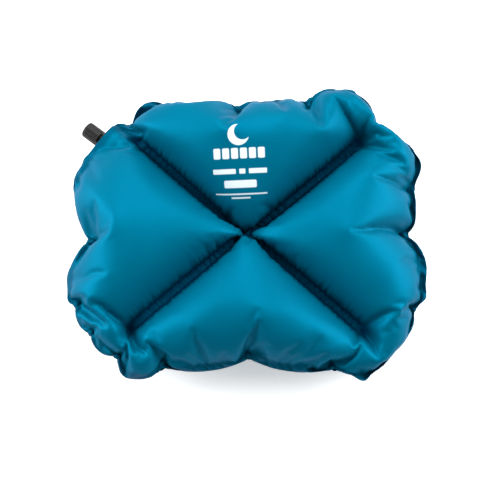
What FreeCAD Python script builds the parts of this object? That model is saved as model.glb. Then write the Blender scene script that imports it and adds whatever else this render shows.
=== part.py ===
"""Inflatable camp pillow with a twist valve, lying flat on its back.

Two coated-fabric panels are welded to each other round the rim and along four arms that form an X.
The arms stop short of the corners, so air passes from each triangular chamber to the next. A moulded
valve is welded into one corner. Its cap turns and rises on a screw thread to let the air through.

Frame: +X runs along the pillow, +Y across it, +Z up. The origin is under the middle, on the surface
that the pillow lies on. The valve points out of the -X +Y corner. Millimetres throughout.
"""

import FreeCAD, Part

import math
import os
import re

import Sketcher
from FreeCAD import Placement, Rotation, Vector

SHEET = "sizes"
SPARE_CELL = "E1"

# name, value, what it is
SIZES = [
    ("pillow_length", 365.0, "overall, along X"),
    ("pillow_width", 300.0, "overall, along Y"),
    ("pillow_height", 100.0, "overall, along Z"),
    ("crown", 51.5, "from the weld plane to the highest point of a panel"),
    ("fabric", 0.5, "thickness of a coated panel"),
    ("weld_cover", 0.35, "thickness of one panel where it is welded down"),
    ("rim_flange", 7.5, "width of the rim's weld"),
    ("weld_step", 0.05, "height of a chamber where it starts, beside a weld"),
    ("edge_reach", 26.0, "distance from the rim's weld over which a scallop fades"),
    ("dome_reach", 84.0, "distance inside the outer box at which the dome is full"),
    ("dome_corner", 60.0, "corner radius of the dome, at the outer box"),
    ("arm_reach", 52.0, "distance from a bar of the X at which a chamber is full"),
    ("cross_y", -5.0, "where the arms of the X meet, across the pillow"),
    ("arm_x", 108.0, "reach of an arm of the X along X"),
    ("arm_y", 92.0, "reach of an arm of the X along Y"),
    ("arm_weld", 9.0, "width of an arm's weld"),
    ("valve_angle", 37.0, "valve axis, above the -X direction"),
    ("valve_out", 152.0, "where the valve leaves the fabric, from the middle along -X"),
    ("valve_up", 97.0, "where the valve leaves the fabric, from the middle along Y"),
    ("boat_length", 38.0, "weld boat, tip to tip"),
    ("boat_thickness", 10.4, "weld boat, at its middle"),
    ("boat_start", 5.0, "inner face of the weld boat, from the stem's inner end"),
    ("boat_end", 14.0, "outer face of the weld boat"),
    ("fabric_edge", 15.0, "edge of the fabric, from the stem's inner end"),
    ("stem_length", 28.2, "whole length of the stem"),
    ("stem_radius", 4.5, "outside of the stem's tube"),
    ("bore_radius", 3.0, "air passage in the stem"),
    ("lead", 3.0, "rise of the cap in one turn"),
    ("rib_height", 0.9, "thread rib, proud of the stem"),
    ("rib_width", 1.1, "thread rib at its root"),
    ("rib_crest", 0.8, "thread rib at its crest"),
    ("stem_rib_start", 17.3, "middle of the stem's thread rib where it begins"),
    ("stem_rib_rise", 4.7, "length of the stem's thread"),
    ("cap_rib_rise", 2.5, "length of the cap's thread"),
    ("cap_start", 15.8, "open end of the cap when it is shut"),
    ("cap_end", 33.8, "mouth end of the cap when it is shut"),
    ("cap_radius", 8.7, "outside of the cap, over the grip ribs"),
    ("cap_round", 2.4, "rounding at the mouth end of the cap"),
    ("cap_wall", 2.0, "end wall of the cap, at the mouth"),
    ("mouth_radius", 2.8, "mouth hole in the cap"),
    ("cap_bore", 4.8, "inside of the cap, over the stem's neck"),
    ("thread_bore", 5.9, "inside of the cap, at the root of its thread"),
    ("thread_depth", 22.9, "end of the threaded part of the cap"),
    ("gland_start", 23.1, "groove for the sliding seal, near side"),
    ("gland_end", 24.9, "groove for the sliding seal, far side"),
    ("gland_radius", 6.15, "bottom of the groove for the sliding seal"),
    ("grip_depth", 0.5, "depth of a grip groove"),
    ("grip_width", 1.25, "width of a grip groove at the surface"),
    ("grip_count", 24.0, "grip grooves round the cap"),
    ("seal_section", 1.5, "sliding seal's section diameter"),
    ("seal_gap", 0.05, "running gap at the sliding seal"),
    ("plug_start", 20.0, "inner end of the plug's fins"),
    ("plug_fin", 1.0, "thickness of a fin of the plug"),
    ("plug_head_start", 29.3, "underside of the plug's head"),
    ("plug_head_end", 30.35, "top of the plug's head"),
    ("plug_head_radius", 3.6, "outside of the plug's head"),
    ("plug_tip_radius", 2.2, "tip of the plug, in the mouth hole"),
    ("plug_tip_end", 33.4, "outer end of the plug's tip"),
    ("plug_seal_section", 1.4, "seat seal's section diameter"),
]

# The rim's outer edge is a chain of scallops between pinches. Each is (pinch, widest point) as
# shares of the half length and half width, clockwise from the corner of the valve's tab.
SCALLOPS = [
    ((-0.744, 0.791), None),
    ((-0.664, 0.753), (-0.562, 0.925)),
    ((-0.432, 0.869), (-0.271, 0.904)),
    ((-0.066, 0.846), (0.155, 0.915)),
    ((0.337, 0.887), (0.541, 1.0)),
    ((0.707, 0.829), None),
    ((0.718, 0.705), (0.880, 0.610)),
    ((0.912, 0.343), (0.940, 0.190)),
    ((0.879, -0.021), (0.985, -0.219)),
    ((0.915, -0.479), (0.905, -0.620)),
    ((0.856, -0.740), (0.770, -0.880)),
    ((0.585, -0.990), None),
    ((0.552, -0.907), (0.293, -0.959)),
    ((0.0, -0.873), (-0.287, -0.955)),
    ((-0.470, -0.925), (-0.600, -1.0)),
    ((-0.705, -0.849), (-0.796, -0.829)),
    ((-0.851, -0.712), (-0.920, -0.640)),
    ((-0.920, -0.517), (-1.0, -0.380)),
    ((-0.878, -0.089), (-0.961, 0.192)),
    ((-0.917, 0.455), None),
    ((-0.922, 0.503), None),
]


RIM_POINTS = 400  # points along the outer edge, from which distances to it are measured


# ---------------------------------------------------------------- document and sketching


def make_sheet(doc):
    """The spreadsheet of driving sizes, one row each: name, value, note."""
    sheet = doc.addObject("Spreadsheet::Sheet", SHEET)
    for row, (name, value, note) in enumerate(SIZES, start=1):
        sheet.set(f"A{row}", name)
        sheet.set(f"B{row}", str(value))
        sheet.set(f"C{row}", note)
        sheet.setAlias(f"B{row}", name)
    doc.recompute()
    return sheet


def bound(text):
    """An expression in size names, such as 'cap_end - cap_wall', as FreeCAD reads it."""
    return re.sub(r"[a-z][a-z_]*[a-z]", lambda name: f"{SHEET}.{name.group()}", text)


def worked_out(owner, text):
    """The value of an expression in size names, from a spare cell of the sheet."""
    sheet = owner.Document.getObject(SHEET)
    sheet.set(SPARE_CELL, "=" + text)
    sheet.recompute()
    return float(sheet.get(SPARE_CELL))


def new_body(doc, name, place):
    body = doc.addObject("PartDesign::Body", name)
    body.Label = name
    body.Placement = place
    return body


def new_sketch(body, role, name):
    """An empty sketch on one of the body's own origin planes."""
    sketch = body.newObject("Sketcher::SketchObject", name)
    plane = next(f for f in body.Origin.OriginFeatures if f.Role == role)
    sketch.AttachmentSupport = (plane, [""])
    sketch.MapMode = "FlatFace"
    return sketch


def pin_point(sketch, line, end, axis_kind, text):
    """Dimensions one coordinate of a line's end from the origin."""
    if text == "0":
        axis = -2 if axis_kind == "DistanceX" else -1
        sketch.addConstraint(Sketcher.Constraint("PointOnObject", line, end, axis))
        return
    value = worked_out(sketch, text)
    number = sketch.addConstraint(Sketcher.Constraint(axis_kind, -1, 1, line, end, value))
    sketch.setExpression(f"Constraints[{number}]", bound(text))


def polygon(body, role, name, corners):
    """A closed polygon. Each corner is a pair of expressions in size names."""
    sketch = new_sketch(body, role, name)
    places = [Vector(*(worked_out(sketch, text) for text in corner), 0) for corner in corners]
    count = len(places)
    for i in range(count):
        sketch.addGeometry(Part.LineSegment(places[i], places[(i + 1) % count]), False)
    for i in range(count):
        sketch.addConstraint(Sketcher.Constraint("Coincident", i, 2, (i + 1) % count, 1))
    for i, (across, up) in enumerate(corners):
        pin_point(sketch, i, 1, "DistanceX", across)
        pin_point(sketch, i, 1, "DistanceY", up)
    return sketch


def turned(doc, body, name, kind, corners):
    """A Revolution or Groove about the body's Z axis of a profile in its XZ plane."""
    sketch = polygon(body, "XZ_Plane", name + "_profile", corners)
    feature = body.newObject("PartDesign::" + kind, name)
    feature.Profile = sketch
    feature.ReferenceAxis = (sketch, ["V_Axis"])
    feature.Angle = 360.0
    body.Tip = feature
    doc.recompute()
    return feature


def thread_rib(doc, body, name, corners, rise):
    """A helical rib about the body's Z axis, as long as the expression `rise` says."""
    sketch = polygon(body, "XZ_Plane", name + "_profile", corners)
    rib = body.newObject("PartDesign::AdditiveHelix", name)
    rib.Profile = sketch
    rib.ReferenceAxis = (sketch, ["V_Axis"])
    rib.Mode = "pitch-height-angle"
    rib.setExpression("Pitch", bound("lead"))
    rib.setExpression("Height", bound(rise))
    body.Tip = rib
    doc.recompute()
    return rib


# ---------------------------------------------------------------- the valve


def valve_place(size):
    """The valve's own Z axis runs outwards along the valve's direction, and its Y axis is up."""
    angle = math.radians(size("valve_angle"))
    outward = Vector(-math.cos(angle), math.sin(angle), 0)
    level = size("pillow_height") - size("crown")
    start = Vector(-size("valve_out"), size("valve_up"), level) - outward * size("fabric_edge")
    return Placement(start, Rotation(Vector(), Vector(0, 0, 1), outward, "ZYX"))


def make_valve_body(doc, place):
    """The stem: a tube with a screw thread, moulded in one with the boat that the panels weld to."""
    body = new_body(doc, "valve_body", place)
    turned(doc, body, "stem_tube", "Revolution", [
        ("0", "0"),
        ("stem_radius", "0"),
        ("stem_radius", "stem_length"),
        ("0", "stem_length"),
    ])
    boat = body.newObject("PartDesign::Pad", "weld_boat")
    boat.Profile = lens_sketch(body)
    boat.setExpression("Length", bound("boat_end"))
    body.Tip = boat
    doc.recompute()
    turned(doc, body, "boat_trim", "Groove", [
        ("stem_radius", "0"),
        ("boat_length", "0"),
        ("boat_length", "boat_start"),
        ("stem_radius", "boat_start"),
    ])
    thread_rib(doc, body, "stem_thread", [
        ("stem_radius - rib_crest / 4", "stem_rib_start - rib_width / 2"),
        ("stem_radius + rib_height", "stem_rib_start - rib_crest / 2"),
        ("stem_radius + rib_height", "stem_rib_start + rib_crest / 2"),
        ("stem_radius - rib_crest / 4", "stem_rib_start + rib_width / 2"),
    ], "stem_rib_rise")
    turned(doc, body, "air_passage", "Groove", [
        ("0", "0"),
        ("bore_radius", "0"),
        ("bore_radius", "stem_length"),
        ("0", "stem_length"),
    ])
    return body


def lens_sketch(body):
    """The boat's lens-shaped section: two arcs between tips on the X axis."""
    sketch = new_sketch(body, "XY_Plane", "boat_section")
    half_length = worked_out(sketch, "boat_length / 2")
    half_thickness = worked_out(sketch, "boat_thickness / 2")
    for side in (1, -1):
        tips = [Vector(-side * half_length, 0, 0), Vector(side * half_length, 0, 0)]
        crown = Vector(0, side * half_thickness, 0)
        sketch.addGeometry(Part.Arc(tips[0], crown, tips[1]), False)
    radius = "(boat_length ^ 2 / 4 + boat_thickness ^ 2 / 4) / boat_thickness"
    ends = [(0, 1), (0, 2)]
    if sketch.getPoint(0, 1).x > 0:
        ends.reverse()
    for geometry, end in ends:
        x = sketch.getPoint(geometry, end).x
        other = next(e for e in (1, 2) if abs(sketch.getPoint(1, e).x - x) < 0.01)
        sketch.addConstraint(Sketcher.Constraint("Coincident", geometry, end, 1, other))
        sketch.addConstraint(Sketcher.Constraint("PointOnObject", geometry, end, -1))
    left, right = ends
    sketch.addConstraint(Sketcher.Constraint("Symmetric", *left, *right, -2))
    span = sketch.addConstraint(
        Sketcher.Constraint("DistanceX", *left, *right, 2 * half_length)
    )
    sketch.setExpression(f"Constraints[{span}]", bound("boat_length"))
    for arc in (0, 1):
        size = sketch.addConstraint(
            Sketcher.Constraint("Radius", arc, worked_out(sketch, radius))
        )
        sketch.setExpression(f"Constraints[{size}]", bound(radius))
    return sketch


def make_valve_plug(doc, place):
    """The plug: crossed fins pressed into the stem, a round head, and a tip in the cap's mouth."""
    body = new_body(doc, "valve_plug", place)
    turned(doc, body, "plug_head", "Revolution", [
        ("0", "plug_start"),
        ("bore_radius", "plug_start"),
        ("bore_radius", "plug_head_start"),
        ("plug_head_radius", "plug_head_start"),
        ("plug_head_radius", "plug_head_end"),
        ("plug_tip_radius", "plug_head_end"),
        ("plug_tip_radius", "plug_tip_end"),
        ("0", "plug_tip_end"),
    ])
    sketch = polygon(body, "XY_Plane", "flute_section", [
        ("plug_fin / 2", "plug_fin / 2"),
        ("plug_head_radius", "plug_fin / 2"),
        ("plug_head_radius", "plug_head_radius"),
        ("plug_fin / 2", "plug_head_radius"),
    ])
    flute = body.newObject("PartDesign::Pocket", "flute")
    flute.Profile = sketch
    flute.Reversed = True
    flute.setExpression("Length", bound("plug_head_start"))
    body.Tip = flute
    doc.recompute()
    return polar(doc, body, flute, "flutes", "4")


def polar(doc, body, feature, name, count):
    """Repeats a feature round the body's Z axis."""
    pattern = body.newObject("PartDesign::PolarPattern", name)
    pattern.Originals = [feature]
    pattern.Axis = (feature.Profile[0], ["N_Axis"])
    pattern.Angle = 360.0
    pattern.setExpression("Occurrences", bound(count))
    body.Tip = pattern
    doc.recompute()
    return body


def make_valve_cap(doc, place):
    """The cap: a grooved grip outside, and inside it a thread, a seal groove and the mouth hole."""
    body = new_body(doc, "valve_cap", place)
    solid = turned(doc, body, "cap_blank", "Revolution", [
        ("0", "cap_start"),
        ("cap_radius", "cap_start"),
        ("cap_radius", "cap_end"),
        ("0", "cap_end"),
    ])
    rim = max(
        (edge for edge in enumerate(solid.Shape.Edges, start=1) if edge[1].Length > 1),
        key=lambda edge: (edge[1].BoundBox.ZMin, edge[1].Length),
    )
    rounding = body.newObject("PartDesign::Fillet", "cap_rounding")
    rounding.Base = (solid, [f"Edge{rim[0]}"])
    rounding.setExpression("Radius", bound("cap_round"))
    body.Tip = rounding
    doc.recompute()
    turned(doc, body, "cap_inside", "Groove", [
        ("0", "cap_start"),
        ("thread_bore", "cap_start"),
        ("thread_bore", "thread_depth"),
        ("cap_bore", "thread_depth"),
        ("cap_bore", "gland_start"),
        ("gland_radius", "gland_start"),
        ("gland_radius", "gland_end"),
        ("cap_bore", "gland_end"),
        ("cap_bore", "cap_end - cap_wall"),
        ("mouth_radius", "cap_end - cap_wall"),
        ("mouth_radius", "cap_end"),
        ("0", "cap_end"),
    ])
    middle = "stem_rib_start + lead / 2"
    thread_rib(doc, body, "cap_thread", [
        ("stem_radius + 0.35", f"{middle} - rib_crest / 2"),
        ("thread_bore + rib_crest / 4", f"{middle} - rib_width / 2"),
        ("thread_bore + rib_crest / 4", f"{middle} + rib_width / 2"),
        ("stem_radius + 0.35", f"{middle} + rib_crest / 2"),
    ], "cap_rib_rise")
    sketch = new_sketch(body, "XY_Plane", "grip_section")
    outside = "cap_radius * 1.03"
    corners = [
        ("cap_radius - grip_depth", "0"),
        (outside, "grip_width / 2"),
        (outside, "-grip_width / 2"),
    ]
    places = [Vector(*(worked_out(sketch, text) for text in corner), 0) for corner in corners]
    for i in range(3):
        sketch.addGeometry(Part.LineSegment(places[i], places[(i + 1) % 3]), False)
    for i in range(3):
        sketch.addConstraint(Sketcher.Constraint("Coincident", i, 2, (i + 1) % 3, 1))
    for i, (across, up) in enumerate(corners):
        pin_point(sketch, i, 1, "DistanceX", across)
        pin_point(sketch, i, 1, "DistanceY", up)
    groove = body.newObject("PartDesign::Pocket", "grip_groove")
    groove.Profile = sketch
    groove.Reversed = True
    groove.setExpression("Length", bound("cap_end + cap_wall"))
    body.Tip = groove
    doc.recompute()
    return polar(doc, body, groove, "grip_grooves", "grip_count")


def make_ring(doc, name, place, inner_radius, section, height):
    """An O-ring about the valve's axis: inner radius, section diameter and where its middle is."""
    ring = doc.addObject("Part::Torus", name)
    ring.Label = name
    ring.setExpression("Radius1", bound(f"{inner_radius} + {section} / 2"))
    ring.setExpression("Radius2", bound(f"{section} / 2"))
    rise = worked_out(ring, height)
    ring.Placement = place.multiply(Placement(Vector(0, 0, rise), Rotation()))
    return ring


# ---------------------------------------------------------------- the panels


def smooth_rise(distance, reach, fullness=0.7):
    """0 at a weld, 1 from `reach` on: the profile of an inflated sheet beside a weld."""
    share = min(1.0, max(0.0, distance / reach))
    return math.sin(math.pi / 2 * share) ** fullness


def rim_distance(x, y, rim, size):
    """How far (x, y) is inside the rim's weld. `rim` is the outer edge as a closed run of points."""
    nearest = math.inf
    inside = False
    for (ax, ay), (bx, by) in zip(rim, rim[1:] + rim[:1]):
        run_x, run_y = bx - ax, by - ay
        share = ((x - ax) * run_x + (y - ay) * run_y) / (run_x * run_x + run_y * run_y)
        share = min(1.0, max(0.0, share))
        nearest = min(nearest, math.hypot(x - ax - share * run_x, y - ay - share * run_y))
        if (ay > y) != (by > y) and x < ax + (y - ay) * run_x / run_y:
            inside = not inside
    return (nearest if inside else -nearest) - size("rim_flange")


def bar_distance(x, y, side, size):
    """How far (x, y) is from one of the X's two bars. `side` is 1 for the one that rises with X."""
    reach = math.hypot(size("arm_x"), size("arm_y"))
    along_x, along_y = size("arm_x") / reach, side * size("arm_y") / reach
    y -= size("cross_y")
    along = min(max(x * along_x + y * along_y, -reach), reach)
    return math.hypot(x - along * along_x, y - along * along_y) - size("arm_weld") / 2


def box_distance(x, y, size):
    """How far (x, y) is inside the outer box with rounded corners."""
    radius = size("dome_corner")
    over_x = abs(x) - size("pillow_length") / 2 + radius
    over_y = abs(y) - size("pillow_width") / 2 + radius
    return radius - math.hypot(max(over_x, 0), max(over_y, 0)) - min(max(over_x, over_y), 0)


def fill_share(x, y, rim, size):
    """How full the chamber is at (x, y), from 0 at a weld."""
    share = smooth_rise(rim_distance(x, y, rim, size), size("edge_reach"))
    share *= smooth_rise(box_distance(x, y, size), size("dome_reach"))
    for side in (1, -1):
        share *= smooth_rise(bar_distance(x, y, side, size), size("arm_reach"))
    return share


def boat_cover(x, y, size):
    """Height of the fabric where it wraps the weld boat and the stem, above the weld plane."""
    angle = math.radians(size("valve_angle"))
    out, up = x + size("valve_out"), y - size("valve_up")
    along = size("fabric_edge") - out * math.cos(angle) + up * math.sin(angle)
    beside = out * math.sin(angle) + up * math.cos(angle)
    if along < -size("boat_start"):
        return 0.0
    margin = 1.3
    share = beside / (size("boat_length") / 2 + 3 * margin)
    return (size("boat_thickness") / 2 + margin) * max(0.0, 1 - share * share)


def panel_grid(size, rim):
    """Points of a panel's outer side, as rows along Y, with the weld plane at z = 0.

    The grid is stepped so that the arms of the X run through its points.
    """
    cells = 20
    step_x, step_y = size("arm_x") / cells, size("arm_y") / cells
    count_x = math.ceil(size("pillow_length") / 2 / step_x) + 1
    count_y = math.ceil((size("pillow_width") / 2 - size("cross_y")) / step_y) + 1
    shares = {}
    for i in range(-count_x, count_x + 1):
        for j in range(-count_y, count_y + 1):
            x, y = i * step_x, size("cross_y") + j * step_y
            shares[i, j] = fill_share(x, y, rim, size)
    rise = (size("crown") - size("weld_cover")) / max(shares.values())
    rows = []
    for i in range(-count_x, count_x + 1):
        row = []
        for j in range(-count_y, count_y + 1):
            x, y = i * step_x, size("cross_y") + j * step_y
            height = max(rise * shares[i, j], boat_cover(x, y, size))
            row.append(Vector(x, y, size("weld_cover") + height))
        rows.append(row)
    return rows


def smooth_face(rows):
    """One smooth face that follows a grid of control points."""
    degree = 3

    def clamped(count):
        inner = count - degree + 1
        return [float(k) for k in range(inner)], [degree + 1] + [1] * (inner - 2) + [degree + 1]

    knots_u, mults_u = clamped(len(rows))
    knots_v, mults_v = clamped(len(rows[0]))
    surface = Part.BSplineSurface()
    surface.buildFromPolesMultsKnots(
        rows, mults_u, mults_v, knots_u, knots_v, False, False, degree, degree
    )
    return surface.toShape()


def rim_outline(size):
    """The outer edge of the fabric as a wire, fitted to the overall length and width."""
    scale = [size("pillow_length") / 2, size("pillow_width") / 2]
    shift = [0.0, 0.0]
    for _ in range(4):
        edges = []
        for i, (pinch, widest) in enumerate(SCALLOPS):
            following = SCALLOPS[(i + 1) % len(SCALLOPS)][0]
            points = [
                Vector(p[0] * scale[0] + shift[0], p[1] * scale[1] + shift[1], 0)
                for p in (pinch, widest, following)
                if p
            ]
            curve = Part.Arc(*points) if widest else Part.LineSegment(*points)
            edges.append(curve.toShape())
        wire = Part.Wire(edges)
        box = wire.optimalBoundingBox(False)
        scale[0] *= size("pillow_length") / box.XLength
        scale[1] *= size("pillow_width") / box.YLength
        shift[0] -= (box.XMin + box.XMax) / 2
        shift[1] -= (box.YMin + box.YMax) / 2
    return wire


def column(wire, size):
    """The space over the inside of a flat wire, from the weld plane up past the crown."""
    return Part.Face(wire).extrude(Vector(0, 0, 2 * size("crown")))


def arm_welds(size):
    """The two welds that cross as an X, as columns with round ends."""
    half_width = size("arm_weld") / 2
    height = 2 * size("crown")
    reach = math.hypot(size("arm_x"), size("arm_y"))
    middle = Vector(0, size("cross_y"), 0)
    pieces = []
    for side in (1, -1):
        along = Vector(size("arm_x"), side * size("arm_y"), 0) / reach
        start = middle - along * reach
        bar = Part.makeBox(2 * reach, 2 * half_width, height, Vector(0, -half_width, 0))
        bar.Placement = Placement(start, Rotation(Vector(1, 0, 0), along))
        pieces.append(bar)
        for end in (start, middle + along * reach):
            pieces.append(Part.makeCylinder(half_width, height, end))
    return pieces[0].multiFuse(pieces[1:])


def boat_space(size, boat, place):
    """The boat's lens, run right through the weld, in the panel's own place."""
    lens = Part.Face(Part.Wire(Part.sortEdges(boat.Edges)[0]))
    lens.translate(Vector(0, 0, -size("fabric_edge")))
    space = lens.extrude(Vector(0, 0, 3 * size("fabric_edge")))
    space.Placement = Placement(Vector(place.Base.x, place.Base.y, 0), place.Rotation)
    return space


def panel_spaces(size, outline, rows):
    """The space under a panel's outer side, and the hollow under its inner side."""
    up = Vector(0, 0, 4 * size("crown"))
    dome = column(outline, size).cut(smooth_face(rows).extrude(up))
    lowest = size("weld_step")
    inner_rows = [
        [Vector(p.x, p.y, max(p.z - size("fabric"), lowest)) for p in row] for row in rows
    ]
    weld_line = outline.makeOffset2D(-size("rim_flange"))
    hollow = column(weld_line, size).cut(smooth_face(inner_rows).extrude(up))
    return dome, hollow.cut(arm_welds(size))


def cut_flat(space, level, size):
    """The space without what is over `level`."""
    wide = 2 * size("pillow_length")
    return space.cut(Part.makeBox(wide, wide, wide, Vector(-wide / 2, -wide / 2, level)))


def make_panels(doc, size, place):
    """Both panels. The lower one is flattened where the pillow rests on its four chambers."""
    outline = rim_outline(size)
    rim = [(point.x, point.y) for point in outline.discretize(Number=RIM_POINTS)[:-1]]
    dome, hollow = panel_spaces(size, outline, panel_grid(size, rim))
    boat = boat_space(size, doc.getObject("boat_section").Shape, place)
    level = size("pillow_height") - size("crown")
    top = doc.addObject("Part::Feature", "top_panel")
    top.Label = "top_panel"
    top.Shape = dome.cut(hollow).cut(boat).Solids[0]
    top.Placement = Placement(Vector(0, 0, level), Rotation())
    flat_dome = cut_flat(dome, level, size)
    flat_hollow = cut_flat(hollow, level - size("fabric"), size)
    bottom = doc.addObject("Part::Feature", "bottom_panel")
    bottom.Label = "bottom_panel"
    flattened = flat_dome.cut(flat_hollow).cut(boat).Solids[0]
    bottom.Shape = flattened.mirror(Vector(), Vector(0, 0, 1))
    bottom.Placement = Placement(Vector(0, 0, level), Rotation())
    return [top, bottom]


# ---------------------------------------------------------------- build and export


def check(doc, pieces):
    """Stops the build if an object failed or a piece isn't a sound solid."""
    for item in doc.Objects:
        if "Invalid" in item.State or "Error" in item.State:
            raise RuntimeError(f"{item.Label} failed: {item.State}")
    for piece in pieces:
        shape = piece.Shape
        if shape.isNull() or not shape.isValid() or not shape.Solids:
            raise RuntimeError(f"{piece.Label} isn't a valid solid")
        box = shape.optimalBoundingBox(False)
        print(
            f"{piece.Label:14s} {len(shape.Solids)} solid(s) {shape.Volume / 1000:8.3f} cm3  "
            f"X {box.XMin:7.2f} {box.XMax:7.2f}  Y {box.YMin:7.2f} {box.YMax:7.2f}  "
            f"Z {box.ZMin:6.2f} {box.ZMax:6.2f}"
        )


def main():
    doc = FreeCAD.newDocument("camp_pillow")
    sheet = make_sheet(doc)

    def size(name):
        return float(sheet.get(name))

    place = valve_place(size)
    make_valve_body(doc, place)
    make_valve_plug(doc, place)
    make_valve_cap(doc, place)
    seal_middle = "gland_start + (gland_end - gland_start) / 2"
    make_ring(doc, "sliding_seal", place, "stem_radius + seal_gap", "seal_section", seal_middle)
    seat_middle = "plug_head_end + plug_seal_section / 2"
    make_ring(doc, "seat_seal", place, "plug_tip_radius", "plug_seal_section", seat_middle)
    make_panels(doc, size, place)
    doc.recompute()
    labels = (
        "top_panel", "bottom_panel", "valve_body", "valve_plug", "seat_seal",
        "sliding_seal", "valve_cap",
    )
    pieces = [doc.getObjectsByLabel(label)[0] for label in labels]
    check(doc, pieces)
    os.makedirs("parts", exist_ok=True)
    for piece in pieces:
        piece.Shape.exportStep(f"parts/{piece.Label}.step")


main()
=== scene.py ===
import math

import bpy
import numpy as np
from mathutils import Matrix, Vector
from mathutils.bvhtree import BVHTree
from mathutils.geometry import delaunay_2d_cdt
from mathutils.kdtree import KDTree


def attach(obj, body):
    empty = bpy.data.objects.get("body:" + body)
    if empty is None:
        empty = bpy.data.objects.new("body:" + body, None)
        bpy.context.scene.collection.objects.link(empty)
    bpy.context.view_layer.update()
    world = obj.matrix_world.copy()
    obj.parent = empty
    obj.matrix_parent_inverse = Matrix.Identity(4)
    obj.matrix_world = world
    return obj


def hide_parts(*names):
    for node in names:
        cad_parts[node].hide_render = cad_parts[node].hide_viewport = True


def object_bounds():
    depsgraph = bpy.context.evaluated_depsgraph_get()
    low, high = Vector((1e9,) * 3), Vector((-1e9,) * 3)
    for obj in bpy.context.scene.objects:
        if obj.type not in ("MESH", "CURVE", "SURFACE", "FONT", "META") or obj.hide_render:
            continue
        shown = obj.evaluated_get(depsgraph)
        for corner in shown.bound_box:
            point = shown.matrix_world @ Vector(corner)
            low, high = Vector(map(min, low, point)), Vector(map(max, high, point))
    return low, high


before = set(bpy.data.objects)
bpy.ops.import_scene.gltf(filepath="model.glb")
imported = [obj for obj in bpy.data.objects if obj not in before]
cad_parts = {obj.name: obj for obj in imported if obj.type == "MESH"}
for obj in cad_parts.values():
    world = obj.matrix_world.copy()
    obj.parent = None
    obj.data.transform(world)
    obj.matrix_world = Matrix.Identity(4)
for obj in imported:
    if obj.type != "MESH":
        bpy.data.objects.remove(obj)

CAD_BOX = [list(corner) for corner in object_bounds()]

# ---- sizes, in metres -------------------------------------------------------------------------
WELD_LEVEL = 0.0485                       # height of the plane in which the two sheets are welded
HEIGHT = CAD_BOX[1][2]
CROSS_MIDDLE = np.array([0.0, -0.005])    # where the X's four arms meet
TAB_MIDDLE = np.array([-0.152, 0.097])    # the cut corner that holds the valve, at the fabric's edge
TAB_ANGLE = math.radians(37)
TAB_OUT = np.array([-math.cos(TAB_ANGLE), math.sin(TAB_ANGLE)])
TAB_ALONG = np.array([-TAB_OUT[1], TAB_OUT[0]])
FABRIC = 0.00035                          # thickness of the coated fabric
FLANGE = 0.008                            # width of the rim weld

# the sheets before they were welded and blown up, measured from the X's middle
FLAT_HALF = (0.206, 0.174)
FLAT_CORNER = 0.095
FLAT_SHIFT = np.array([0.0, 0.006])
FLAT_TAB = 0.199
TAB_SMOOTH = 0.034                        # the sheets stay smooth this far in from the tab's edge
ARM_END = np.array([0.122, 0.1045])
ARM_LENGTH = float(np.hypot(*ARM_END))
ARM_WAY = ARM_END / ARM_LENGTH
ARM_HALF = 0.0045
BLUNT = 0.011                             # the four chambers' tips end this far from the X's middle
MESH = 0.0048                             # spacing of the simulated points
CROSS_MESH = 0.0035                       # and along the X's arms
JITTER = 0.12                             # how uneven the points are, as a share of their spacing
CLEARANCE = 0.62                          # no point comes closer to a weld's edge than this share of it
SEED = 7

FRAMES, FLATTENED_BY = 38, 16             # the rest shape is all flat pattern from frame FLATTENED_BY on
ANGLES = 720                              # directions in which the rim is measured

# where the soft rim stands out past the CAD's, or stays behind it: direction in degrees from the X's
# middle, half width in degrees, by how much
LOBES = [(22, 6, 0.010), (4, 3, 0.003), (-20, 3, 0.008), (-39, 4, -0.003), (-53, 3, 0.009), (-131, 3, 0.005),
         (-159, 3, 0.006), (-173, 4, -0.005), (161, 7, 0.007), (85, 22, 0.003), (48, 8, 0.003)]

# where the rim weld is gathered into a pinch
PINCH_SPAN = 61                           # the rim is evened out over this many angles to find its dips
PINCH_APART = 5                           # a pinch is the deepest dip this many angles to both sides
PINCH_LEAST, PINCH_GATHER = 0.0012, 1.1   # the least dip that counts, and how much more fabric it takes up
PINCH_DEPTHS = (0.006, 0.011)             # the least and the most
PINCH_SHARE, PINCH_WIDTH, PINCH_FROM = 1.3, 0.008, 0.74    # how the flat sheet is taken in at a pinch

# the panels, from the blown-up shape to the finished one
PUFF = 0.80                               # under 1, the panels stand steeper at the welds
START_HEIGHT = 0.9                        # of the CAD panels' height, before the blowing up
GROUND_SOFT = 0.004                       # the underside eases into the ground over this height
BOAT_HALF_WIDTH, BOAT_HALF_HEIGHT = 0.0215, 0.0060    # the valve's boat with the fabric drawn over it
BOAT_BACK, BOAT_EASE = 0.024, 0.008       # how far in from the tab's edge the boat reaches, and fades out

# gathers finer than the simulated points: teeth beside the X's arms, creases, ripples, and fringes of painted
# shade
PUCKER_PITCH, PUCKER_DEPTH, PUCKER_REACH, PUCKER_RISE = 0.0070, 0.0018, 0.007, 0.0025
TEETH_FROM, TEETH_UP_TO = (0.010, 0.022), (-0.008, 0.002)    # from the X's middle, and from an arm's end
PUCKER_DRIFTS = [(0.041, 1.6, 1.7, 1.0), (0.0167, 1.1, 0.6, 2.0)]    # wavelength, size, phase by arm, by side
PUCKER_UNEVEN = 0.027                     # wavelength over which the teeth grow and shrink
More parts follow.
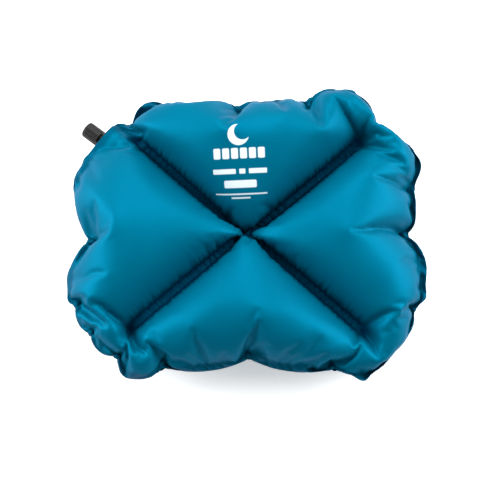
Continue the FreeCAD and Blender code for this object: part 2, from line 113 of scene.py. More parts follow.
# the crease at each pinch: it is CREASE_DEPTH deep at a pinch of CREASE_PINCH
CREASE_WIDTH, CREASE_DEPTH, CREASE_PINCH, CREASE_FROM, CREASE_FULL = 0.0028, 0.0035, 0.012, 0.80, 0.96
RIPPLE_PITCH, RIPPLE_DEPTH, RIPPLE_EDGE, RIPPLE_PAST = 0.005, 0.0002, 0.002, 0.006
FRINGE_PITCH, FRINGE = 0.0036, (0.0035, 0.0135)    # fringes of painted shade beside the X's arms: shortest, longest
HOLLOW_PAST, HOLLOW_ALONG, HOLLOW_ACROSS, HOLLOW_SHARE = 0.008, 0.013, 0.006, 0.75    # past each arm's end
NOTCH_SOFT, NOTCH_PAST = 0.008, 0.0025    # how softly fabric past the rim's outline is held, and how far out
RIM_TIP, RIM_TIP_WIDTH = 0.005, 0.010     # how far a pinch tips the rim up or down, and over which length


def eased(values, low, high):
    """0 up to `low`, 1 from `high` on, and a smooth rise between them."""
    share = np.clip((values - low) / (high - low), 0, 1)
    return share * share * (3 - 2 * share)


# ---- the flat sheets --------------------------------------------------------------------------
def rounded_rectangle(half_x, half_y, corner, step):
    """Points round a rounded rectangle about the origin, counterclockwise."""
    points = []
    turns = max(3, round(math.pi / 2 * corner / step))
    for k, (sx, sy) in enumerate(((1, 1), (-1, 1), (-1, -1), (1, -1))):
        centre = np.array([sx * (half_x - corner), sy * (half_y - corner)])
        for i in range(turns + 1):
            a = math.pi / 2 * (k + i / turns)
            points.append(centre + corner * np.array([math.cos(a), math.sin(a)]))
        sx, sy = ((-1, 1), (-1, -1), (1, -1), (1, 1))[k]
        a = math.pi / 2 * (k + 1)
        following = np.array([sx * (half_x - corner), sy * (half_y - corner)]) + corner * np.array(
            [math.cos(a), math.sin(a)])
        gap = following - points[-1]
        count = round(float(np.hypot(*gap)) / step)
        points += [points[-1] + gap * i / count for i in range(1, count)]
    return np.array(points)


def without_tab(points, distance, step):
    """The closed outline with the part beyond the valve's tab line cut off straight."""
    beyond = points @ TAB_OUT - distance
    inside = beyond <= 0
    n = len(points)
    leaves = next(i for i in range(n) if inside[i] and not inside[(i + 1) % n])
    enters = next(i for i in range(n) if not inside[i] and inside[(i + 1) % n])

    def crossing(i):
        j = (i + 1) % n
        return points[i] + (points[j] - points[i]) * beyond[i] / (beyond[i] - beyond[j])

    first, last = crossing(leaves), crossing(enters)
    count = max(2, round(float(np.hypot(*(last - first))) / step))
    chord = [first + (last - first) * i / count for i in range(count + 1)]
    kept = []
    i = (enters + 1) % n
    while True:
        near = min(np.hypot(*(points[i] - first)), np.hypot(*(points[i] - last)))
        if near > 0.5 * step:
            kept.append(points[i])
        if i == leaves:
            break
        i = (i + 1) % n
    return np.array(chord + kept)


def flat_outline(inset):
    """The flat sheet's outline, or a line that far inside it."""
    outline = rounded_rectangle(FLAT_HALF[0] - inset, FLAT_HALF[1] - inset, FLAT_CORNER - inset, MESH)
    return without_tab(outline + FLAT_SHIFT, FLAT_TAB - inset, MESH)


def arm_ways():
    """The directions of the X's four arms, counterclockwise."""
    return [np.array([sx * ARM_WAY[0], sy * ARM_WAY[1]]) for sx, sy in ((1, 1), (-1, 1), (-1, -1), (1, -1))]


def cross_outline():
    """The outline of the X-shaped weld, with round ends."""
    ways = arm_ways()
    points = []

    def side(a):
        return np.array([-a[1], a[0]]) * ARM_HALF

    def inner_corner(a, b):
        t = np.linalg.solve(np.array([a, -b]).T, -side(b) - side(a))
        return a * t[0] + side(a)

    ends = max(4, round(math.pi * ARM_HALF / (0.7 * CROSS_MESH)))
    for i, way in enumerate(ways):
        start = max(BLUNT, float(inner_corner(ways[i - 1], way) @ way))
        stop = max(BLUNT, float(inner_corner(way, ways[(i + 1) % 4]) @ way))
        count = round((ARM_LENGTH - start) / CROSS_MESH)
        points += [way * (start + (ARM_LENGTH - start) * k / count) - side(way) for k in range(count)]
        points += [way * (ARM_LENGTH + ARM_HALF * math.sin(math.pi * k / ends))
                   - side(way) * math.cos(math.pi * k / ends) for k in range(ends)]
        count = round((ARM_LENGTH - stop) / CROSS_MESH)
        points += [way * (ARM_LENGTH - (ARM_LENGTH - stop) * k / count) + side(way) for k in range(count)]
    return np.array(points)


def inside_of(polygon, points):
    """Which of the points are inside the polygon."""
    x, y = points[:, 0], points[:, 1]
    found = np.zeros(len(points), bool)
    for (x0, y0), (x1, y1) in zip(polygon, np.roll(polygon, -1, 0)):
        if y0 != y1:
            found ^= ((y0 > y) != (y1 > y)) & (x < x0 + (y - y0) * (x1 - x0) / (y1 - y0))
    return found


def flat_mesh():
    """Points and triangles of one flat sheet, with its rim weld and X weld drawn in."""
    outer, middle, weld = (flat_outline(FLANGE * k / 2) for k in range(3))
    cross = cross_outline()
    points, edges = [], []
    for loop in (outer, middle, weld, cross):
        first, n = len(points), len(loop)
        points += list(loop)
        edges += [(first + i, first + (i + 1) % n) for i in range(n)]
    along = round(ARM_LENGTH / CROSS_MESH)
    points += [np.zeros(2)] + [w * ARM_LENGTH * k / along for w in arm_ways() for k in range(1, along + 1)]
    tree = KDTree(len(points))
    for i, p in enumerate(points):
        tree.insert((p[0], p[1], 0), i)
    tree.balance()
    reach = FLAT_HALF[0] + 0.03
    rows = np.arange(-reach, reach, MESH * math.sqrt(3) / 2)
    columns = np.arange(-reach, reach, MESH)
    lattice = np.array([(x + (j % 2) * MESH / 2, y) for j, y in enumerate(rows) for x in columns])
    lattice += np.random.default_rng(SEED).uniform(-JITTER, JITTER, lattice.shape) * MESH
    lattice = lattice[inside_of(weld, lattice) & ~inside_of(cross, lattice)]
    points += [p for p in lattice if tree.find((p[0], p[1], 0))[2] > CLEARANCE * MESH]
    vertices, _, faces, *_ = delaunay_2d_cdt([Vector(p) for p in points], edges, [], 1, 1e-7)
    flat = np.array([v[:] for v in vertices])
    triangles = np.array(faces)
    a, b, c = (flat[triangles[:, i]] for i in range(3))
    turned = (b - a)[:, 0] * (c - a)[:, 1] - (b - a)[:, 1] * (c - a)[:, 0] < 0
    triangles[turned] = triangles[turned][:, ::-1]
    centres = flat[triangles].mean(1)
    welded = ~inside_of(weld, centres) | inside_of(cross, centres)
    rim = np.array([i for i, p in enumerate(flat) if np.abs(outer - p).sum(1).min() < 1e-6])
    return flat, triangles, welded, rim, outer, weld


def two_sheets(flat, triangles, welded):
    """The two sheets as one mesh that shares its points where they are welded."""
    shared = np.zeros(len(flat), bool)
    shared[np.unique(triangles[welded])] = True
    own = np.where(~shared)[0]
    below = np.arange(len(flat))
    below[own] = len(flat) + np.arange(len(own))
    top = np.concatenate([triangles[welded], triangles[~welded]])
    bottom = np.concatenate([triangles[welded], below[triangles[~welded]]])[:, ::-1]
    return {
        "flat": np.concatenate([flat, flat[own]]),
        "shared": np.concatenate([shared, np.zeros(len(own), bool)]),
        "is_below": np.concatenate([np.zeros(len(flat), bool), np.ones(len(own), bool)]),
        "top": top, "bottom": bottom,
        "faces": np.concatenate([top, bottom[int(welded.sum()):]]),
        "welded": int(welded.sum()),
    }


# ---- from the flat sheets to the rim's outline ------------------------------------------------
def by_angle(points, spread=1):
    """The outline's distance from the X's middle in each of ANGLES directions."""
    points = np.concatenate([points + (np.roll(points, -1, 0) - points) * t
                             for t in np.linspace(0, 1, spread, endpoint=False)])
    angle, radius = np.arctan2(points[:, 1], points[:, 0]), np.hypot(*points.T)
    order = np.argsort(angle)
    return np.interp(angle_of(np.arange(ANGLES)), angle[order], radius[order], period=2 * math.pi)


def angle_of(index):
    """The direction, in radians, that an index into the values for each direction stands for."""
    return (index + 0.5) / ANGLES * 2 * math.pi - math.pi


def at_angles(values, points):
    """The values for each direction, looked up at the points' own directions."""
    return np.interp(np.arctan2(points[:, 1], points[:, 0]), angle_of(np.arange(ANGLES)), values,
                     period=2 * math.pi)


def smoothed(values, width):
    """Values round a closed outline, evened out over that many neighbours."""
    window = np.hanning(width)
    around = np.concatenate([values[-width:], values, values[:width]])
    return np.convolve(around, window / window.sum(), "same")[width:-width]


def rim_radius():
    """The CAD panel's rim with its lobes: its distance from the X's middle in each of ANGLES directions."""
    panel_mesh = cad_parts["top_panel"].data
    corners = np.array([v.co[:2] for v in panel_mesh.vertices]) - CROSS_MIDDLE
    ends = np.array([edge.vertices[:] for edge in panel_mesh.edges])
    ring = np.concatenate([corners[ends[:, 0]] * (1 - t) + corners[ends[:, 1]] * t
                           for t in np.linspace(0, 1, 9)])
    index = ((np.arctan2(ring[:, 1], ring[:, 0]) + math.pi) / (2 * math.pi) * ANGLES).astype(int) % ANGLES
    radius = np.zeros(ANGLES)
    np.maximum.at(radius, index, np.hypot(*ring.T))
    every = np.arange(ANGLES)
    radius = np.interp(every, every[radius > 0], radius[radius > 0], period=ANGLES)
    for direction, half_width, extra in LOBES:
        off = (np.degrees(angle_of(every)) - direction + 180) % 360 - 180
        radius += extra * np.exp(-((off / half_width) ** 2))
    return radius


def rim_pinches(radius):
    """Where the rim is pinched in: each pinch's direction from the X's middle in degrees, and its depth."""
    dip = smoothed(radius, PINCH_SPAN) - radius
    around = np.array([np.roll(dip, k) for k in range(-PINCH_APART, PINCH_APART + 1)])
    deepest = (dip >= around.max(0)) & (dip > PINCH_LEAST)
    return [(math.degrees(angle_of(i)), float(np.clip(PINCH_GATHER * dip[i], *PINCH_DEPTHS)))
            for i in np.where(deepest)[0]]


RIM_RADIUS = rim_radius()
PINCHES = rim_pinches(RIM_RADIUS)


def away_from(direction, points):
    """Distance round the rim from the ray in that direction, in degrees, at each point's own radius."""
    angle = np.arctan2(points[:, 1], points[:, 0]) - math.radians(direction)
    return ((angle + math.pi) % (2 * math.pi) - math.pi) * np.hypot(*points.T)


def gathered(flat, flat_radius):
    """The flat sheet with the fabric that the pinches take up left out, as it is for the weld's length."""
    radius = np.hypot(*flat.T)
    share = np.clip((radius / at_angles(flat_radius, flat) - PINCH_FROM) / (1 - PINCH_FROM), 0, 1)
    cut = np.zeros(len(flat))
    for direction, depth in PINCHES:
        cut += depth * PINCH_SHARE * np.exp(-((away_from(direction, flat) / PINCH_WIDTH) ** 2))
    return flat * (1 - cut * share * share * (3 - 2 * share) / np.maximum(radius, 1e-6))[:, None]


def rim_wave(ring):
    """How far the rim stands above or below the weld plane: it tips one way or the other at each pinch."""
    signs = np.random.default_rng(SEED).choice([-1, 1], len(PINCHES))
    return sum(sign * RIM_TIP * np.exp(-((away_from(direction, ring) / RIM_TIP_WIDTH) ** 2))
               for sign, (direction, _) in zip(signs, PINCHES))


def start_shape(sheets, outer):
    """The sheets drawn in to the CAD outline, and raised to nearly the CAD sheets' height."""
    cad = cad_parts["top_panel"].data
    tree = BVHTree.FromPolygons([v.co for v in cad.vertices], [tuple(p.vertices) for p in cad.polygons])
    goal, flat_radius = smoothed(RIM_RADIUS, 7), by_angle(outer, 5)
    flat = sheets["flat"]
    share = np.clip(np.hypot(*flat.T) / at_angles(flat_radius, flat), 0, 1)
    close = np.clip((share - 0.55) / 0.45, 0, 1) ** 1.5
    drawn_in = (at_angles(smoothed(goal / flat_radius, 61), flat) * (1 - close)
                + at_angles(goal / flat_radius, flat) * close)
    place = flat * (1 - (1 - drawn_in) * share ** 0.8)[:, None]
    height = np.zeros(len(flat))
    for i in np.where(~sheets["shared"])[0]:
        x, y = place[i] + CROSS_MIDDLE
        hit = tree.ray_cast(Vector((x, y, 0.2)), Vector((0, 0, -1)))[0]
        height[i] = START_HEIGHT * (hit.z - WELD_LEVEL) if hit else 0.0005
    sheets["rest"] = gathered(flat, flat_radius)
    return np.column_stack([place, np.where(sheets["is_below"], -height, height)])


# ---- blowing it up ----------------------------------------------------------------------------
def inflate(sheets, start, rim, weld):
    """Cloth simulation under air pressure. The sheets' rest shape runs from the start shape to the flat
    pattern, so the panels end up as real flat fabric, crumpled where it has to be. The rim is sewn to a
    ring of fixed points."""
    count = len(start)
    ring = np.column_stack([start[rim][:, :2], rim_wave(start[rim][:, :2])])
    first = np.concatenate([start, ring])
    last = np.concatenate([np.column_stack([sheets["rest"], np.zeros(count)]), ring])
    mesh = bpy.data.meshes.new("blown")
    stitches = [(int(i), count + j) for j, i in enumerate(rim)]
    mesh.from_pydata(first.tolist(), stitches, sheets["faces"].tolist())
    obj = bpy.data.objects.new("blown", mesh)
    bpy.context.scene.collection.objects.link(obj)
    obj.shape_key_add(name="Basis")
    key = obj.shape_key_add(name="flat")
    key.data.foreach_set("co", last.ravel())
    for value, at in ((0, 2), (1, FLATTENED_BY)):
        key.value = value
        key.keyframe_insert("value", frame=at)
    for curve in mesh.shape_keys.animation_data.action.fcurves:
        for point in curve.keyframe_points:
            point.interpolation = "LINEAR"

    def group(name, members, weight=1.0):
        made = obj.vertex_groups.get(name) or obj.vertex_groups.new(name=name)
        made.add([int(i) for i in members], weight, "REPLACE")

    middle = np.where(np.hypot(*sheets["flat"].T) < 0.004)[0]
    flange = sheets["shared"] & ~inside_of(weld * 0.999, sheets["flat"])
    group("air", np.where(~sheets["shared"])[0])
    group("pin", list(middle) + list(range(count, len(first))))
    group("stiff", np.where(flange)[0], 0.1)
    group("stiff", np.where(sheets["flat"] @ TAB_OUT > FLAT_TAB - TAB_SMOOTH)[0])
    modifier = obj.modifiers.new("cloth", "CLOTH")
    cloth = modifier.settings
    cloth.quality = 6
    cloth.mass = 0.15
    cloth.tension_stiffness = cloth.tension_stiffness_max = 200
    cloth.compression_stiffness = cloth.compression_stiffness_max = 1.5
    cloth.shear_stiffness = 20
    cloth.bending_stiffness = 3.0
    cloth.bending_stiffness_max = 40
    cloth.tension_damping = cloth.compression_damping = cloth.shear_damping = 10
    cloth.bending_damping = 0.5
    cloth.air_damping = 8
    cloth.use_pressure = True
    cloth.uniform_pressure_force = 200
    cloth.vertex_group_pressure = "air"
    cloth.vertex_group_mass = "pin"
    cloth.pin_stiffness = 5
    cloth.vertex_group_bending = cloth.vertex_group_structural_stiffness = "stiff"
    cloth.use_sewing_springs = True
    cloth.use_dynamic_mesh = True
    cloth.effector_weights.gravity = 0
    modifier.collision_settings.use_collision = False
    modifier.collision_settings.use_self_collision = False
    modifier.point_cache.frame_start = 1
    modifier.point_cache.frame_end = FRAMES + 5
    scene = bpy.context.scene
    scene.frame_end = FRAMES + 5
    for at in range(1, FRAMES + 1):
        scene.frame_set(at)
    evaluated = obj.evaluated_get(bpy.context.evaluated_depsgraph_get())
    blown = evaluated.to_mesh()
    place = np.zeros(len(first) * 3)
    blown.vertices.foreach_get("co", place)
    evaluated.to_mesh_clear()
    action = mesh.shape_keys.animation_data.action
    bpy.data.objects.remove(obj)
    bpy.data.meshes.remove(mesh)
    bpy.data.actions.remove(action)
    scene.frame_set(1)
    return place.reshape(-1, 3)[:count]


def boat_height(points):
    """Half the thickness of the valve's welded-in boat with the fabric drawn over it, at each point."""
    from_tab = points[:, :2] - TAB_MIDDLE
    along, inward = from_tab @ TAB_ALONG, -(from_tab @ TAB_OUT)
    lens = np.clip(1 - (along / BOAT_HALF_WIDTH) ** 2, 0, 1)
    back = np.clip((BOAT_BACK - inward) / BOAT_EASE, 0, 1)
    return BOAT_HALF_HEIGHT * lens * back * back * (3 - 2 * back)


def fitted(sheets, place):
    """The blown shape set on the ground at the CAD's height."""
    place = place.copy()
    place[:, :2] += CROSS_MIDDLE
    up, down = place[:, 2].max(), -place[:, 2].min()
    place[:, 2] = np.where(place[:, 2] > 0,
                           (np.maximum(place[:, 2], 0) / up) ** PUFF * (HEIGHT - WELD_LEVEL),
                           -(np.maximum(-place[:, 2], 0) / down) ** PUFF * (WELD_LEVEL + 0.0015))
    place[:, 2] = WELD_LEVEL + place[:, 2]
    eased_down = GROUND_SOFT * np.exp(np.minimum(place[:, 2] / GROUND_SOFT - 1, 0))
    place[:, 2] = np.where(place[:, 2] < GROUND_SOFT, eased_down, place[:, 2])
    return place


def over_boat(place, side):
    """Lifts one panel clear of the valve's boat."""
    half = boat_height(place)
    raised = side * (place[:, 2] - WELD_LEVEL)
    place[:, 2] = WELD_LEVEL + side * np.where(half > 0, np.maximum(raised, half), raised)


# ---- the two panels ---------------------------------------------------------------------------
def panel(name, faces, place, flat, welded_faces, side):
    """One of the two panels as an object: side is 1 for the upper one and -1 for the lower one."""
    used = np.unique(faces)
    new = np.zeros(len(place), int)
    new[used] = np.arange(len(used))
    here = place[used].copy()
    over_boat(here, side)
    mesh = bpy.data.meshes.new(name)
    mesh.from_pydata(here.tolist(), [], new[faces].tolist())
    uv = mesh.uv_layers.new(name="flat")
    loops = np.zeros(len(mesh.loops), int)
    mesh.loops.foreach_get("vertex_index", loops)
    uv.data.foreach_set("uv", flat[used][loops].ravel())
    weld = np.zeros(len(used))
    weld[np.unique(new[faces[:welded_faces]])] = 1.0
    attribute = mesh.attributes.new("weld", "FLOAT", "POINT")
    attribute.data.foreach_set("value", weld)
    mesh.polygons.foreach_set("use_smooth", [True] * len(mesh.polygons))
    obj = bpy.data.objects.new(name, mesh)
    bpy.context.scene.collection.objects.link(obj)
    subdivision = obj.modifiers.new("subdivision", "SUBSURF")
    subdivision.levels = subdivision.render_levels = 1
    subdivision.uv_smooth = "SMOOTH_ALL"
    fine = bpy.data.meshes.new_from_object(obj.evaluated_get(bpy.context.evaluated_depsgraph_get()))
    obj.modifiers.clear()
    obj.data = fine
    bpy.data.meshes.remove(mesh)
    fine.name = name
    gather_fabric(fine, side)
    shell = obj.modifiers.new("thickness", "SOLIDIFY")
    shell.thickness = FABRIC
    shell.offset = 1
    return obj


def drawn_to_outline(place):
    """Fabric that stands out past the rim's outline is drawn in to it, so each pinch shows as a notch."""
    outline = smoothed(RIM_RADIUS, 5)
    around = place[:, :2] - CROSS_MIDDLE
    limit, radius = at_angles(outline, around), np.hypot(*around.T)
    room = limit + NOTCH_PAST - NOTCH_SOFT
    past = np.maximum(radius - room, 0) / NOTCH_SOFT
    held = np.where(past > 0, room + NOTCH_SOFT * np.tanh(past), radius)
    place[:, :2] = CROSS_MIDDLE + around * (held / np.maximum(radius, 1e-6))[:, None]
    return place


def flat_places(mesh):
    """Where each of the mesh's points lies on the flat sheet."""
    loops, on_loops = np.zeros(len(mesh.loops), int), np.zeros(len(mesh.loops) * 2)
    mesh.loops.foreach_get("vertex_index", loops)
    mesh.uv_layers["flat"].data.foreach_get("uv", on_loops)
    flat = np.zeros((len(mesh.vertices), 2))
    flat[loops] = on_loops.reshape(-1, 2)
    return flat


def past_arm_ends(flat):
    """How far the fabric sinks back to the weld plane in the hollow past each arm's end."""
    sunk = []
    for way in arm_ways():
        along, across = flat @ way - ARM_LENGTH - HOLLOW_PAST, flat @ np.array([-way[1], way[0]])
        sunk.append(HOLLOW_SHARE * np.exp(-((along / HOLLOW_ALONG) ** 2) - (across / HOLLOW_ACROSS) ** 2))
    return sunk


def arm_teeth(flat, side):
    """The small teeth on both sides of the X's arms, and the ripples of the arms themselves."""
    push = np.zeros(len(flat))
    for k, way in enumerate(arm_ways()):
        along, across = flat @ way, flat @ np.array([-way[1], way[0]])
        off, one_side = np.abs(across) - ARM_HALF, across > 0
        window = (eased(along, *TEETH_FROM)
                  * eased(-along, -ARM_LENGTH - TEETH_UP_TO[1], -ARM_LENGTH - TEETH_UP_TO[0]))
        drift = 0.8 * k + sum(size * np.sin(along * 2 * math.pi / wave + by_arm * k + by_side * one_side)
                              for wave, size, by_arm, by_side in PUCKER_DRIFTS)
        tooth = (0.5 + 0.5 * np.cos(along * 2 * math.pi / PUCKER_PITCH + drift)) ** 3
        reach = np.exp(-np.maximum(off, 0) / PUCKER_REACH) * np.clip(off / PUCKER_RISE, 0, 1)
        uneven = 0.6 + 0.4 * np.sin(along * 2 * math.pi / PUCKER_UNEVEN + 2.3 * k + 1.4 * one_side)
        push -= PUCKER_DEPTH * window * reach * tooth * uneven
        strip = (np.clip(1 - off / RIPPLE_EDGE, 0, 1) * (along > 0)
                 * eased(-along, -ARM_LENGTH - RIPPLE_PAST, -ARM_LENGTH))
        push += RIPPLE_DEPTH * side * strip * np.cos(along * 2 * math.pi / RIPPLE_PITCH + drift)
    return push


def pinch_creases(flat):
    """The crease that runs in from each of the rim's pinches, with a low swelling on both sides."""
    push = np.zeros(len(flat))
    share = np.hypot(*flat.T) / at_angles(FLAT_RADIUS, flat)
    for direction, depth in PINCHES:
        off = away_from(direction, flat) / CREASE_WIDTH
        push -= (CREASE_DEPTH * depth / CREASE_PINCH * eased(share, CREASE_FROM, CREASE_FULL)
                 * (1 - 0.5 * off * off) * np.exp(-0.5 * off * off))
    return push


def gather_fabric(mesh, side):
    """Gives the blown sheet the gathers that are finer than the simulated points."""
    count = len(mesh.vertices)
    flat = flat_places(mesh)
    place, normal = np.zeros(count * 3), np.zeros(count * 3)
    mesh.vertices.foreach_get("co", place)
    place = drawn_to_outline(place.reshape(-1, 3))
    for sunk in past_arm_ends(flat):
        place[:, 2] = WELD_LEVEL + (place[:, 2] - WELD_LEVEL) * (1 - sunk)
    mesh.vertices.foreach_set("co", place.ravel())
    mesh.update()
    mesh.vertices.foreach_get("normal", normal)
    push = arm_teeth(flat, side) + pinch_creases(flat)
    mesh.vertices.foreach_set("co", place.ravel() + normal * np.repeat(push, 3))
    mesh.update()


flat, triangles, welded, rim, outer, weld = flat_mesh()
FLAT_RADIUS = by_angle(outer, 5)
sheets = two_sheets(flat, triangles, welded)
start = start_shape(sheets, outer)
blown = inflate(sheets, start, rim, weld)
shape = fitted(sheets, blown)
top = panel("top_fabric", sheets["top"], shape, sheets["flat"], sheets["welded"], 1)
bottom = panel("bottom_fabric", sheets["bottom"], shape, sheets["flat"], sheets["welded"], -1)


# ---- materials --------------------------------------------------------------------------------
class Nodes:
    """A short way to lay out a node material."""

    def __init__(self, name):
        self.material = bpy.data.materials.new(name)
        self.material.use_nodes = True
        self.tree = self.material.node_tree
        self.shader = self.tree.nodes["Principled BSDF"]

    def put(self, value, socket):
        if isinstance(value, bpy.types.NodeSocket):
            self.tree.links.new(value, socket)
        else:
            socket.default_value = value

    def add(self, kind, inputs=(), output=0, **settings):
        node = self.tree.nodes.new("ShaderNode" + kind)
        for key, value in settings.items():
            setattr(node, key, value)
        for key, value in dict(inputs).items():
            self.put(value, node.inputs[key])
        return node.outputs[output]

    def math(self, operation, a, b=0.0, c=0.0, clamp=False):
        return self.add("Math", {0: a, 1: b, 2: c}, operation=operation, use_clamp=clamp)

    def mix(self, factor, a, b):
        node = self.tree.nodes.new("ShaderNodeMix")
        node.data_type = "RGBA"
        self.put(factor, node.inputs[0])
        self.put(a, node.inputs[6])
        self.put(b, node.inputs[7])
        return node.outputs[2]

    def shade(self, **inputs):
        for key, value in inputs.items():
            self.put(value, self.shader.inputs[key.replace("_", " ")])
        return self.material


def srgb(r, g, b):
    return tuple((c / 12.92 if c <= 0.04045 else ((c + 0.055) / 1.055) ** 2.4)
                 for c in (r / 255, g / 255, b / 255)) + (1.0,)


PRINT_TILT = 3.0                          # degrees, rising to the right
PRINT_MIDDLE = -0.003
MOON, MOON_RADIUS = (PRINT_MIDDLE, 0.1128), 0.0105
# each bar's middle, half size and corner radius
PRINT_BARS = [((PRINT_MIDDLE + 0.0088 * k, 0.0944), (0.0034, 0.0052), 0.0014)
              for k in (-2.5, -1.5, -0.5, 0.5, 1.5, 2.5)] + [
    ((-0.0185, 0.0769), (0.0115, 0.0024), 0.0008),
    ((-0.0005, 0.0769), (0.0030, 0.0024), 0.0008),
    ((0.0150, 0.0769), (0.0090, 0.0024), 0.0008),
    ((PRINT_MIDDLE, 0.0644), (0.0162, 0.0037), 0.0016),
    ((PRINT_MIDDLE, 0.0545), (0.0270, 0.0007), 0.0003),
    ((PRINT_MIDDLE, 0.0508), (0.0095, 0.0007), 0.0003),
]


EDGE_SOFT = 0.0004                        # how softly the print's edges end
TEAL, TEAL_LIGHT, THREAD_SHADE = srgb(0, 88, 114), srgb(0, 98, 125), srgb(0, 60, 90)
# the weld colour is partly the welds' own darker tone and partly painted shade; the arm colour is painted
# shade in the grooves at the X's arms
WELD_TONE_AND_SHADE, ARM_PAINTED_SHADE, INK = srgb(0, 38, 62), srgb(0, 18, 48), srgb(196, 208, 214)
SHEEN = srgb(0, 150, 200)
METAL = 0.30                              # the coating's satin glint
WEAVE_PITCH = 0.0006


def box_mask(n, u, v, middle, half, soft=EDGE_SOFT, corner=0.0):
    """1 inside a box with round corners in the print's own coordinates."""
    dx = n.math("MAXIMUM", n.math("SUBTRACT", n.math("ABSOLUTE", n.math("SUBTRACT", u, middle[0])),
                                  half[0] - corner), 0.0)
    dy = n.math("MAXIMUM", n.math("SUBTRACT", n.math("ABSOLUTE", n.math("SUBTRACT", v, middle[1])),
                                  half[1] - corner), 0.0)
    distance = n.math("SQRT", n.math("ADD", n.math("MULTIPLY", dx, dx), n.math("MULTIPLY", dy, dy)))
    return n.math("DIVIDE", n.math("SUBTRACT", corner + soft, distance), 2 * soft, clamp=True)


def disc_mask(n, u, v, middle, radius, soft=EDGE_SOFT):
    """1 inside a disc in the print's own coordinates."""
    dx, dy = n.math("SUBTRACT", u, middle[0]), n.math("SUBTRACT", v, middle[1])
    distance = n.math("SQRT", n.math("ADD", n.math("MULTIPLY", dx, dx), n.math("MULTIPLY", dy, dy)))
    return n.math("DIVIDE", n.math("SUBTRACT", radius + soft, distance), 2 * soft, clamp=True)


def fabric_material(name, printed):
    """Satin coated fabric: woven, darker along the welds (partly painted shade), with painted shade at the
    X's arms, and for the upper panel with the print.
    """
    n = Nodes(name)
    uv = n.add("UVMap", uv_map="flat")
    parts = n.tree.nodes.new("ShaderNodeSeparateXYZ")
    n.put(uv, parts.inputs[0])
    x, y = parts.outputs[0], parts.outputs[1]
    warp = n.add("TexNoise", {"Vector": uv, "Scale": 22.0, "Detail": 3.0, "Roughness": 0.5})
    thread = n.add("TexNoise", {"Vector": uv, "Scale": 900.0, "Detail": 2.0})
    teal = n.mix(warp, TEAL, TEAL_LIGHT)
    teal = n.mix(n.math("MULTIPLY", thread, 0.12), teal, THREAD_SHADE)
    weld = n.add("Attribute", attribute_name="weld", output=2)
    # the welds darkened: partly painted shade, as the welds lie low between the swelling panels, and partly
    # the welds' own darker tone
    colour = n.mix(n.math("MULTIPLY", weld, 0.45), teal, WELD_TONE_AND_SHADE)
    # painted shade in the grooves along the X's arms, with fringes and a dark patch round each arm's end
    colour = n.mix(painted_arm_shade(n, x, y), colour, ARM_PAINTED_SHADE)
    pitch = 2 * math.pi / WEAVE_PITCH
    weave = n.math("MULTIPLY", n.math("SINE", n.math("MULTIPLY", x, pitch)),
                   n.math("SINE", n.math("MULTIPLY", y, pitch)))
    bump = n.add("Bump", {"Height": weave, "Strength": 0.12, "Distance": 0.0001})
    soft_waves = n.add("TexNoise", {"Vector": uv, "Scale": 75.0, "Detail": 2.0, "Roughness": 0.4})
    bump = n.add("Bump", {"Height": soft_waves, "Strength": 0.25, "Distance": 0.0006, "Normal": bump})
    rough = n.add("MapRange", {"Value": warp, "To Min": 0.44, "To Max": 0.50})
    metal = METAL
    if printed:
        ink = printed_mask(n, x, y)
        colour = n.mix(ink, colour, INK)
        metal = n.math("MULTIPLY", n.math("SUBTRACT", 1.0, ink), METAL)
    return n.shade(Base_Color=colour, Roughness=rough, Normal=bump, Metallic=metal,
                   Specular_IOR_Level=0.04, Specular_Tint=SHEEN)


def painted_arm_shade(n, x, y):
    """Painted shade at the X's arms, standing in for the shade in their grooves: darkest along both edges of
    the weld, with short fringes where it is gathered, and round each arm's end. One formula does for the four
    mirrored arms."""
    ax, ay = n.math("ABSOLUTE", x), n.math("ABSOLUTE", y)
    along = n.math("ADD", n.math("MULTIPLY", ax, ARM_WAY[0]), n.math("MULTIPLY", ay, ARM_WAY[1]))
    signed = n.math("SUBTRACT", n.math("MULTIPLY", ay, ARM_WAY[0]), n.math("MULTIPLY", ax, ARM_WAY[1]))
    across = n.math("ABSOLUTE", signed)
    place = n.math("ADD", n.math("MULTIPLY", along, 1 / FRINGE_PITCH),
                   n.math("MULTIPLY", n.math("SIGN", signed), 3.3))
    place = n.math("ADD", place, n.math("ADD", n.math("MULTIPLY", n.math("SIGN", x), 11.7),
                                        n.math("MULTIPLY", n.math("SIGN", y), 23.1)))
    noise = n.add("TexNoise", {"W": place, "Scale": 1.0, "Detail": 1.0}, noise_dimensions="1D")
    uneven = n.add("MapRange", {"Value": noise, "From Min": 0.35, "From Max": 0.68})
    reach = n.math("ADD", FRINGE[0], n.math("MULTIPLY", uneven, FRINGE[1] - FRINGE[0]))
    off = n.math("MAXIMUM", n.math("SUBTRACT", across, ARM_HALF), 0.0)
    outside = n.math("POWER", n.math("SUBTRACT", 1.0, n.math("DIVIDE", off, reach), clamp=True), 1.6)
    edge = n.math("POWER", n.math("DIVIDE", across, ARM_HALF, clamp=True), 2.5)
    inside = n.math("ADD", n.math("SUBTRACT", 0.62, n.math("MULTIPLY", uneven, 0.22)),
                    n.math("MULTIPLY", edge, 0.33))
    window = n.add("MapRange", {"Value": along, "From Min": ARM_LENGTH + 0.006,
                                "From Max": ARM_LENGTH - 0.004})
    strip = n.math("MULTIPLY", n.math("MULTIPLY", outside, inside), window)
    past = n.math("DIVIDE", n.math("SUBTRACT", along, ARM_LENGTH + 0.004), 0.012)
    beside = n.math("DIVIDE", across, 0.009)
    pit = n.math("EXPONENT", n.math("MULTIPLY", -1.0, n.math("ADD", n.math("MULTIPLY", past, past),
                                                              n.math("MULTIPLY", beside, beside))))
    return n.math("MAXIMUM", strip, n.math("MULTIPLY", pit, 0.85))


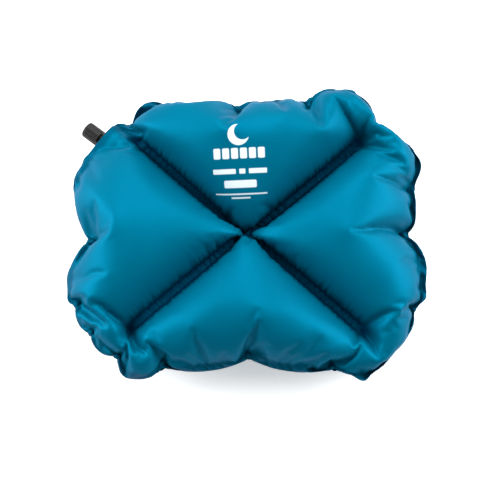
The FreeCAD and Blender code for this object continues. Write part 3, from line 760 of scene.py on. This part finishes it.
def printed_mask(n, x, y):
    """The print: a sleep symbol over rows of plain blocks and bars, a label and two hairlines."""
    tilt = math.radians(PRINT_TILT)
    u = n.math("ADD", n.math("MULTIPLY", x, math.cos(tilt)), n.math("MULTIPLY", y, math.sin(tilt)))
    v = n.math("SUBTRACT", n.math("MULTIPLY", y, math.cos(tilt)), n.math("MULTIPLY", x, math.sin(tilt)))
    bite = (MOON[0] + 0.4 * MOON_RADIUS, MOON[1] + 0.3 * MOON_RADIUS)
    ink = n.math("SUBTRACT", disc_mask(n, u, v, MOON, MOON_RADIUS),
                 disc_mask(n, u, v, bite, 0.8 * MOON_RADIUS), clamp=True)
    for middle, half, corner in PRINT_BARS:
        ink = n.math("MAXIMUM", ink, box_mask(n, u, v, middle, half, corner=corner))
    return ink


top_fabric = fabric_material("coated_fabric_printed", True)
bottom_fabric = fabric_material("coated_fabric", False)
for obj, material, node in ((top, top_fabric, "top_panel"), (bottom, bottom_fabric, "bottom_panel")):
    obj.data.materials.append(material)
    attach(obj, "pillow")
    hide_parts(node)


def moulded(name, colour, worn, rough, grain):
    """Moulded plastic or rubber with a fine spark-eroded grain."""
    n = Nodes(name)
    place = n.add("TexCoord", output=3)
    cloud = n.add("TexNoise", {"Vector": place, "Scale": 180.0, "Detail": 3.0})
    fine = n.add("TexNoise", {"Vector": place, "Scale": 2600.0, "Detail": 2.0})
    bump = n.add("Bump", {"Height": fine, "Strength": grain, "Distance": 0.00006})
    roughness = n.add("MapRange", {"Value": cloud, "To Min": rough - 0.05, "To Max": rough + 0.07})
    return n.shade(Base_Color=n.mix(cloud, colour, worn), Normal=bump, Roughness=roughness,
                   Specular_IOR_Level=0.30)


black = moulded("black_cap_plastic", srgb(11, 10, 11), srgb(18, 16, 17), 0.42, 0.3)
charcoal = moulded("black_valve_plastic", srgb(14, 14, 15), srgb(21, 21, 22), 0.42, 0.3)
rubber = moulded("seal_rubber_black", srgb(18, 18, 19), srgb(26, 26, 27), 0.62, 0.4)
for node, material in (("valve_cap", black), ("valve_body", charcoal), ("valve_plug", charcoal),
                       ("seat_seal", rubber), ("sliding_seal", rubber)):
    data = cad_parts[node].data
    data.materials.clear()
    data.materials.append(material)


# ---- floor, light, camera ---------------------------------------------------------------------
def floor():
    size = 30.0
    mesh = bpy.data.meshes.new("floor")
    corners = [(x * size, y * size, -0.0002) for x, y in ((-1, -1), (1, -1), (1, 1), (-1, 1))]
    mesh.from_pydata(corners, [], [(0, 1, 2, 3)])
    obj = bpy.data.objects.new("floor", mesh)
    bpy.context.scene.collection.objects.link(obj)
    n = Nodes("pale_paper")
    mesh.materials.append(n.shade(Base_Color=(0.93, 0.93, 0.93, 1), Roughness=0.8, Specular_IOR_Level=0.2,
                                  Emission_Color=(1, 1, 1, 1), Emission_Strength=0.35))


def soft_light(place, size, power, aim=(0, 0, 0.05)):
    """A square softbox that faces the pillow."""
    data = bpy.data.lights.new("softbox", "AREA")
    data.size, data.energy = size, power
    obj = bpy.data.objects.new("softbox", data)
    obj.location = place
    obj.rotation_euler = (Vector(aim) - Vector(place)).to_track_quat("-Z", "Y").to_euler()
    bpy.context.scene.collection.objects.link(obj)


def camera(aim, distance, elevation, width):
    """The camera looks along +Y and down; `width` is what its frame takes in at that distance."""
    data = bpy.data.cameras.new("camera")
    obj = bpy.data.objects.new("camera", data)
    bpy.context.scene.collection.objects.link(obj)
    e = math.radians(elevation)
    back = Vector((0, -math.cos(e), math.sin(e)))
    obj.location = Vector(aim) + back * distance
    obj.rotation_euler = (-back).to_track_quat("-Z", "Y").to_euler()
    data.sensor_width = 36
    data.lens = 36 * distance / width
    bpy.context.scene.camera = obj


floor()
world = bpy.data.worlds.new("studio")
world.use_nodes = True
world.node_tree.nodes["Background"].inputs[0].default_value = (1, 1, 1, 1)
world.node_tree.nodes["Background"].inputs[1].default_value = 0.45
bpy.context.scene.world = world
bpy.context.scene.view_settings.view_transform = "Standard"
for place, size, power in (((-1.15, 0.3, 0.65), 0.9, 25), ((1.15, 0.3, 0.65), 0.9, 25),
                           ((0, 0.95, 1.05), 1.0, 19)):
    soft_light(place, size, power)
camera(aim=(-0.007, -0.009, 0.045), distance=0.95, elevation=79, width=0.490)
